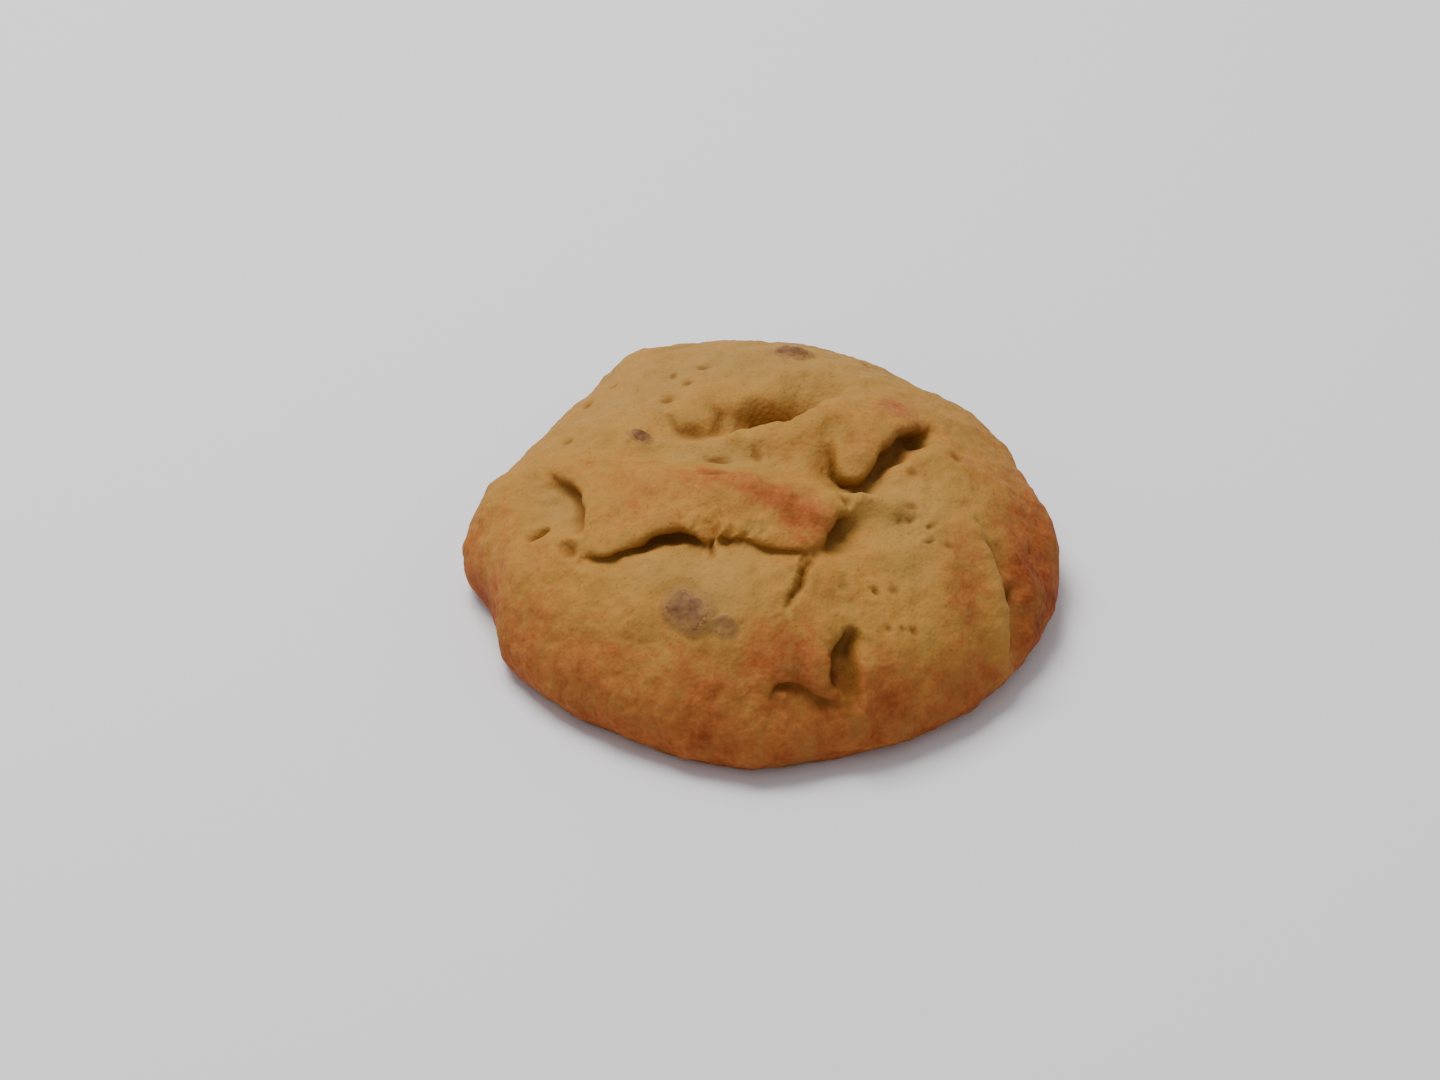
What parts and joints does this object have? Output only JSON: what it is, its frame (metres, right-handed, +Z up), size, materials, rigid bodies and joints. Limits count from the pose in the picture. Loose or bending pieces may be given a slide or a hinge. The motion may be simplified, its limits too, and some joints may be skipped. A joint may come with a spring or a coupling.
{
  "type": "chocolate chip cookie",
  "caption": "Thick domed cookie with a folded, cracked golden crust and chocolate chips showing through, resting on a flat underside.",
  "frame": {"origin": "centre of the bounding box's underside, on the surface the cookie rests on", "axes": "+X to the right and +Y away from the viewer as the picture shows it, +Z up"},
  "size_m": [0.1086, 0.1066, 0.0357],
  "materials": {
    "crust": "matt baked crust, golden on top and browner at the rim",
    "chocolate": "dull satin"
  },
  "bodies": {
    "root": {"cookie": "crust"}
  },
  "joints": []
}
